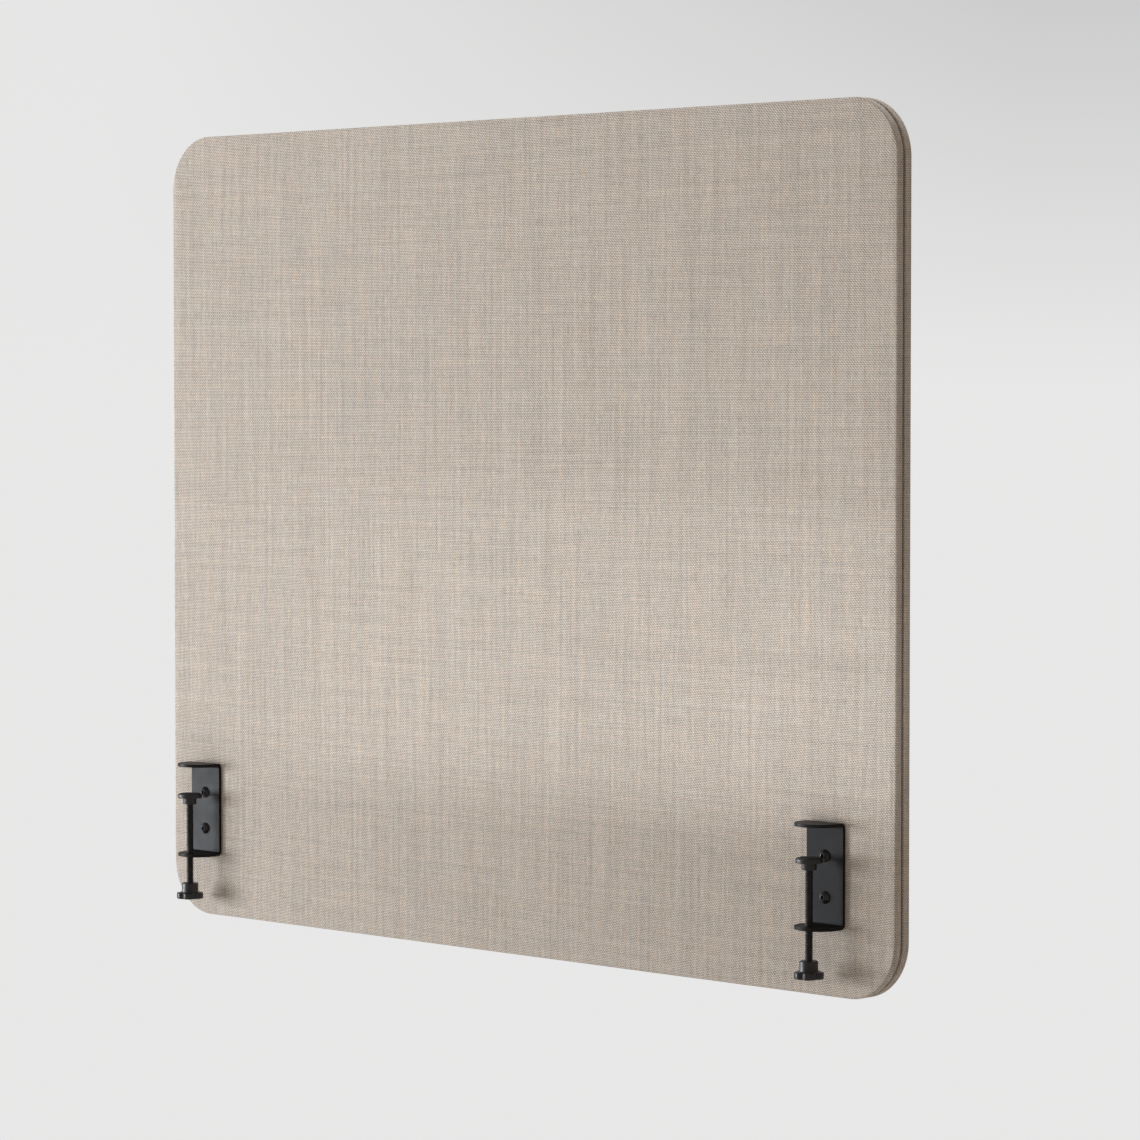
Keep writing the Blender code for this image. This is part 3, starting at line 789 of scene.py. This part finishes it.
def spindle(side, finish):
    """The clamp screw: a button and neck inside the foot, then thread down into the knob."""
    low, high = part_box(f"{side}_clamp_screw")
    x = (low.x + high.x) / 2
    foot_low, foot_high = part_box(f"{side}_press_foot")
    lip_top = foot_low.z + COLLAR_LIP
    button_base = lip_top + GAP
    thread_top = foot_low.z - GAP
    chamfer = 0.0004
    head = [(0.0004, high.z), (BUTTON_RADIUS - chamfer, high.z), (BUTTON_RADIUS, high.z - chamfer)]
    head += [(BUTTON_RADIUS, button_base + chamfer / 2), (BUTTON_RADIUS - chamfer / 2, button_base)]
    head += [(NECK_RADIUS, button_base), (NECK_RADIUS, thread_top)]
    rings = [plain_ring(radius, height) for radius, height in head]
    rings += threaded_rings(SPINDLE_RADIUS, THREAD_DEPTH, SPINDLE_PITCH, thread_top, low.z)
    rings = [ring + np.array([x, SPINDLE_Y, 0]) for ring in rings]
    return loft(f"{side}_spindle_thread", rings, finish)


def knob_radius(angles, full, share):
    """Radius of the lobed rim at each angle. Share runs from 0, a plain circle, to 1, the full notches."""
    notch = (0.5 - 0.5 * np.cos(KNOB_LOBES * (angles + math.pi / 4))) ** NOTCH_SHARPNESS
    return full - KNOB_NOTCH * share * notch


def knob(side, finish):
    """The hand knob: a hub with a soft top edge on a lobed rim, dished below, with a blind bore."""
    low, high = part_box(f"{side}_knob")
    screw_low, screw_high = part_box(f"{side}_clamp_screw")
    x = (screw_low.x + screw_high.x) / 2
    full = x - low.x
    angles = 2 * math.pi * np.arange(KNOB_LOBES * 24) / (KNOB_LOBES * 24)
    round_rim, round_hub, fillet = 0.0009, 0.0007, 0.0006
    flange_top = low.z + KNOB_FLANGE
    bore = SPINDLE_RADIUS + GAP
    floor = low.z + KNOB_FLOOR
    dish, dish_radius = 0.0008, KNOB_HUB_RADIUS - 0.0006
    rings = [(0.0006, low.z + dish, 0), (dish_radius - fillet, low.z + dish, 0)]
    rings += [(dish_radius, low.z + dish * 0.4, 0)]
    rings += [(dish_radius + 0.0005, low.z, 0.0)]
    lower = arc((full - round_rim, low.z + round_rim), round_rim, 270, 360, 5)
    upper = arc((full - round_rim, flange_top - round_rim), round_rim, 0, 90, 5)
    rings += [(radius, height, 1) for radius, height in lower + upper]
    root = arc((KNOB_HUB_RADIUS + fillet, flange_top + fillet), fillet, 270, 180, 4)
    crown = arc((KNOB_HUB_RADIUS - 0.0001 - round_hub, high.z - round_hub), round_hub, 0, 90, 5)
    rings += [(radius, height, 0) for radius, height in root + crown]
    mouth = arc((bore + 0.0004, high.z - 0.0004), 0.0004, 90, 180, 3)
    rings += [(radius, height, 0) for radius, height in mouth]
    rings += [(bore, floor + 0.0003, 0), (bore - 0.0003, floor, 0), (0.0006, floor, 0)]
    skins = []
    for radius, height, share in rings:
        size = knob_radius(angles, radius, share)
        level = np.full(len(angles), height)
        ring = np.stack([size * np.cos(angles), size * np.sin(angles), level], axis=1)
        skins.append(ring + np.array([x, SPINDLE_Y, 0]))
    return loft(f"{side}_hand_knob", skins, finish)


def press_foot(side, finish):
    """The swivel foot: plate with a rim round the pad, and a collar closed over the spindle's button."""
    low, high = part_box(f"{side}_press_foot")
    pad_low, pad_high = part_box(f"{side}_foot_pad")
    x = (low.x + high.x) / 2
    outer = (high.x - low.x) / 2
    seat = pad_low.z - GAP
    under = seat - FOOT_PLATE
    pocket = BUTTON_RADIUS + GAP
    throat = NECK_RADIUS + GAP
    soft = 0.0003
    profile = [(0.0005, seat), (PAD_RADIUS + GAP, seat), (PAD_RADIUS + GAP, high.z - soft / 2)]
    profile += [(PAD_RADIUS + GAP + soft / 2, high.z)]
    profile += arc((outer - soft, high.z - soft), soft, 90, 0, 4)
    profile += arc((outer - 0.0006, under + 0.0006), 0.0006, 0, -90, 4)
    profile += arc((FOOT_COLLAR_RADIUS + 0.0005, under - 0.0005), 0.0005, 90, 180, 4)
    profile += arc((FOOT_COLLAR_RADIUS - 0.0005, low.z + 0.0005), 0.0005, 0, -90, 4)
    profile += [(throat + soft, low.z), (throat, low.z + soft)]
    profile += [(throat, low.z + COLLAR_LIP), (pocket, low.z + COLLAR_LIP), (pocket, under), (0.0005, under)]
    return turned(f"{side}_swivel_foot", profile, (x, SPINDLE_Y, 0), finish)


def foot_pad(side, finish):
    """The rubber facing, with three shallow rings moulded in its face."""
    low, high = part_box(f"{side}_foot_pad")
    x = (low.x + high.x) / 2
    groove, soft = 0.00025, 0.0003
    profile = [(0.0005, high.z)]
    for radius in PAD_RINGS:
        profile += [(radius - 0.0004, high.z), (radius - 0.0002, high.z - groove)]
        profile += [(radius + 0.0002, high.z - groove), (radius + 0.0004, high.z)]
    profile += arc((PAD_RADIUS - soft, high.z - soft), soft, 90, 0, 3)
    profile += [(PAD_RADIUS, low.z), (0.0005, low.z)]
    return turned(f"{side}_rubber_pad", profile, (x, SPINDLE_Y, 0), finish)


def fixing_screw(name, finish):
    """A button-head machine screw: domed head, hexagon socket and threaded shank."""
    low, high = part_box(f"{name}_screw")
    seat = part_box(f"{name.split('_')[0]}_bracket")[1].y - STEEL - GAP
    place = Vector(((low.x + high.x) / 2, seat, (low.z + high.z) / 2))
    length = high.y - place.y
    centre = (SCREW_HEAD_RADIUS ** 2 - SCREW_HEAD_HEIGHT ** 2) / (2 * SCREW_HEAD_HEIGHT)
    ball = centre + SCREW_HEAD_HEIGHT
    rim = math.degrees(math.asin((centre + 0.0004) / ball))
    dome = arc((0, -centre), ball, 89, rim, 12)
    edge = [(SCREW_HEAD_RADIUS - 0.00006, 0.0002), (SCREW_HEAD_RADIUS - 0.0002, 0.0)]
    rings = [plain_ring(radius, height, TURNED_STEPS) for radius, height in dome + edge]
    rings.append(plain_ring(SCREW_RADIUS, 0.0, TURNED_STEPS))
    thread_top = -0.0001
    rings += threaded_rings(SCREW_RADIUS, SCREW_THREAD_DEPTH, SCREW_PITCH, thread_top, -length, TURNED_STEPS)
    rings = [laid_back(ring, place) for ring in rings]
    item = loft(f"{name}_button_screw", rings, finish)
    socket = bmesh.new()
    corner = SOCKET_FLATS / 2 / math.cos(math.pi / 6)
    prism = bmesh.ops.create_cone(
        socket, cap_ends=True, segments=6, radius1=corner, radius2=corner, depth=2 * SOCKET_DEPTH
    )
    bmesh.ops.rotate(socket, verts=prism["verts"], matrix=ROTATE_TO_Y, cent=(0, 0, 0))
    bmesh.ops.translate(socket, verts=prism["verts"], vec=(place.x, seat - SCREW_HEAD_HEIGHT, place.z))
    subtract(item, socket)
    return item


def strip_rows(reach, jaw, bend, half):
    """Rows across the bent strip's inner skin, as (y, z, half width), from tongue tip to flange tip."""
    rows = []
    nose = np.radians(np.linspace(4, 90, 16))
    for angle in nose:
        rows.append((-reach + half * (1 - math.cos(angle)), 0.0, half * math.sin(angle)))
    rows.append((-bend, 0.0, half))
    for angle in np.radians(np.linspace(90, 0, 9))[1:]:
        rows.append((-bend + bend * math.cos(angle), -bend + bend * math.sin(angle), half))
    for share in (0.25, 0.5, 0.75):
        rows.append((0.0, -bend - share * (jaw - 2 * bend), half))
    for angle in np.radians(np.linspace(0, -90, 9)):
        rows.append((-bend + bend * math.cos(angle), -jaw + bend + bend * math.sin(angle), half))
    for angle in nose[::-1]:
        rows.append((-reach + half * (1 - math.cos(angle)), -jaw, half * math.sin(angle)))
    return rows


def bracket(side, finish):
    """The C-shaped steel strip with round noses, tapped and drilled, its cut edges rounded."""
    low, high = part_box(f"{side}_bracket")
    x = (low.x + high.x) / 2
    half = (high.x - low.x) / 2
    jaw = high.z - low.z - 2 * STEEL
    rows = strip_rows(-low.y, jaw, BEND_RADIUS, half)
    columns = np.linspace(-1, 1, 9)
    points, faces = [], []
    for y, z, width in rows:
        points += [(x + column * width, y, z) for column in columns]
    count = len(columns)
    for row in range(len(rows) - 1):
        for column in range(count - 1):
            here = row * count + column
            faces.append([here, here + 1, here + count + 1, here + count])
    item = mesh_object(f"{side}_clamp_bracket", points, faces, finish)
    orient(item, Vector((0, 0, 1)))
    steel = item.modifiers.new("steel", "SOLIDIFY")
    steel.thickness = STEEL
    steel.offset = 1
    steel.use_even_offset = True
    apply_modifiers(item)
    bore = bmesh.new()
    cylinder = bmesh.ops.create_cone(
        bore, cap_ends=True, segments=48, radius1=THREAD_BORE, radius2=THREAD_BORE, depth=CUT_DEPTH
    )
    bmesh.ops.translate(bore, verts=cylinder["verts"], vec=(x, SPINDLE_Y, low.z + STEEL / 2))
    subtract(item, bore)
    screws = [place for name, place in screw_places().items() if name.startswith(side)]
    holes = [Vector((place.x, STEEL / 2, place.z)) for place in screws]
    cut_holes(item, holes, SCREW_RADIUS + GAP, CUT_DEPTH, sides=32)
    rounding = item.modifiers.new("cut edges", "BEVEL")
    rounding.width = STEEL_EDGE
    rounding.segments = 3
    rounding.limit_method = "ANGLE"
    rounding.angle_limit = STEEL_SHARP
    rounding.use_clamp_overlap = True
    rounding.harden_normals = True
    apply_modifiers(item, keep_normals=True)
    return item


def build_clamps(coat, zinc, plastic, rubber):
    for side in SIDES:
        pieces = [
            (bracket(side, coat), "bracket", "board", "black_steel"),
            (spindle(side, zinc), "clamp_screw", f"{side}_spindle", "black_screw"),
            (knob(side, plastic), "knob", f"{side}_spindle", "black_plastic"),
            (press_foot(side, plastic), "press_foot", f"{side}_foot", "black_plastic"),
            (foot_pad(side, rubber), "foot_pad", f"{side}_foot", "black_rubber"),
        ]
        for item, node, body, slot in pieces:
            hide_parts(f"{side}_{node}")
            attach(item, body)
        for level in LEVELS:
            item = fixing_screw(f"{side}_{level}", zinc)
            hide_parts(f"{side}_{level}_screw")
            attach(item, "board")


# ---------------------------------------------------------------- pieces kept from the frame

def finish_node(node, finish):
    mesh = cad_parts[node].data
    mesh.materials.clear()
    mesh.materials.append(finish)


def finish_inner_nodes():
    finish_node("core_frame", board_material())
    pressed = felt_material("pressed_felt", (0.30, 0.31, 0.32), (0.62, 0.63, 0.64), 900.0)
    finish_node("acoustic_infill", pressed)
    zinc = zinc_material()
    for name in screw_places():
        finish_node(f"{name}_insert", zinc)


# ---------------------------------------------------------------- studio

def studio_floor():
    """A pale floor that fades into the background far from the object."""
    paint = Paint("studio_floor")
    place = paint.place()
    level = paint.scaled(place, (1.0, 1.0, 0.0))
    distance = paint.add("VectorMath", {0: level}, output=1, operation="LENGTH")
    paint.finish(FLOOR_COLOUR, 0.9)
    seen = paint.mix(paint.add("LightPath"), FLOOR_LIGHT, PALE)
    glow = paint.add("Emission", {"Color": seen, "Strength": 1.0})
    fade = {0: distance, 1: FLOOR_FADE[0], 2: FLOOR_FADE[1], 3: 0.6, 4: 1.0}
    far = paint.add("MapRange", fade, interpolation_type="SMOOTHSTEP")
    blend = paint.add("MixShader", {0: far, 1: paint.shader.outputs[0], 2: glow})
    paint.tree.links.new(blend, paint.tree.nodes["Material Output"].inputs[0])
    mesh = bpy.data.meshes.new("floor")
    shape = bmesh.new()
    bmesh.ops.create_circle(shape, cap_ends=True, segments=64, radius=FLOOR_RADIUS)
    shape.to_mesh(mesh)
    shape.free()
    floor = bpy.data.objects.new("floor", mesh)
    floor.location = (0, 0, FLOOR_Z)
    mesh.materials.append(paint.material)
    bpy.context.scene.collection.objects.link(floor)


def world_dot(tree, vector, other):
    node = tree.nodes.new("ShaderNodeVectorMath")
    node.operation = "DOT_PRODUCT"
    node.inputs[1].default_value = other
    tree.links.new(vector, node.inputs[0])
    return node.outputs["Value"]


def world_range(tree, value, low, high, start, end):
    node = tree.nodes.new("ShaderNodeMapRange")
    for number, limit in enumerate((low, high, start, end)):
        node.inputs[number + 1].default_value = limit
    tree.links.new(value, node.inputs[0])
    return node.outputs[0]


def studio_world():
    """An even pale surround, a little dimmer high up on the right. As a light it is softer and warmer."""
    world = bpy.data.worlds.new("studio")
    bpy.context.scene.world = world
    world.use_nodes = True
    tree = world.node_tree
    direction = tree.nodes.new("ShaderNodeTexCoord").outputs["Generated"]
    height = world_dot(tree, direction, (0.0, 0.0, 1.0))
    sideways = world_dot(tree, direction, (1.0, 1.0, 0.0))
    lean = world_range(tree, sideways, -DIM_LEAN, DIM_LEAN, 0.1, 1.9)
    product = tree.nodes.new("ShaderNodeMath")
    product.operation = "MULTIPLY"
    tree.links.new(height, product.inputs[0])
    tree.links.new(lean, product.inputs[1])
    share = world_range(tree, product.outputs[0], 0.0, DIM_HEIGHT, 0.0, 1.0)
    seen = tree.nodes.new("ShaderNodeMix")
    seen.data_type = "RGBA"
    seen.inputs[6].default_value = (*PALE, 1.0)
    seen.inputs[7].default_value = (*DIM, 1.0)
    tree.links.new(share, seen.inputs[0])
    rays = tree.nodes.new("ShaderNodeLightPath")
    colour = tree.nodes.new("ShaderNodeMix")
    colour.data_type = "RGBA"
    colour.inputs[6].default_value = (*AMBIENT, 1.0)
    tree.links.new(rays.outputs["Is Camera Ray"], colour.inputs[0])
    tree.links.new(seen.outputs[2], colour.inputs[7])
    tree.links.new(colour.outputs[2], tree.nodes["Background"].inputs["Color"])


def area_light(name, place, target, size, power):
    data = bpy.data.lights.new(name, "AREA")
    data.shape = "RECTANGLE"
    data.size, data.size_y = size
    data.energy = power
    data.color = DAYLIGHT
    lamp = bpy.data.objects.new(name, data)
    lamp.location = place
    lamp.rotation_euler = (Vector(target) - Vector(place)).to_track_quat("-Z", "Y").to_euler()
    lamp.visible_camera = False
    bpy.context.scene.collection.objects.link(lamp)


def studio_lights():
    """A ceiling panel, a fill behind the board, a window from the left, and three low panels in front.

    The low panels stand in for the light that a desk top throws up onto the board.
    """
    for name, place, target, size, power in SOFT_LIGHTS:
        area_light(name, place, target, size, power)


def camera():
    """The view of the board from the desk's right, a little above the desk top."""
    data = bpy.data.cameras.new("camera")
    data.lens = CAMERA_LENS
    data.sensor_width = CAMERA_SENSOR
    data.clip_start, data.clip_end = 0.1, 100.0
    item = bpy.data.objects.new("camera", data)
    item.location = CAMERA_PLACE
    item.rotation_euler = (math.pi / 2 - CAMERA_ELEVATION, 0, CAMERA_AZIMUTH)
    bpy.context.scene.collection.objects.link(item)
    bpy.context.scene.camera = item


build_board(
    fabric_material(),
    felt_material("needled_felt", (0.62, 0.61, 0.57), (0.86, 0.85, 0.81), 1400.0),
    strip_material(),
)
build_clamps(
    powder_coat_material(),
    black_zinc_material(),
    moulded_material("moulded_black", (0.017, 0.017, 0.018), (0.024, 0.024, 0.025), 0.40, 0.0003),
    moulded_material("black_rubber", (0.024, 0.024, 0.024), (0.036, 0.036, 0.036), 0.74, 0.0005),
)
finish_inner_nodes()
studio_floor()
studio_world()
studio_lights()
camera()
bpy.context.scene.view_settings.view_transform = "Standard"
bpy.context.scene.cycles.denoising_prefilter = "NONE"
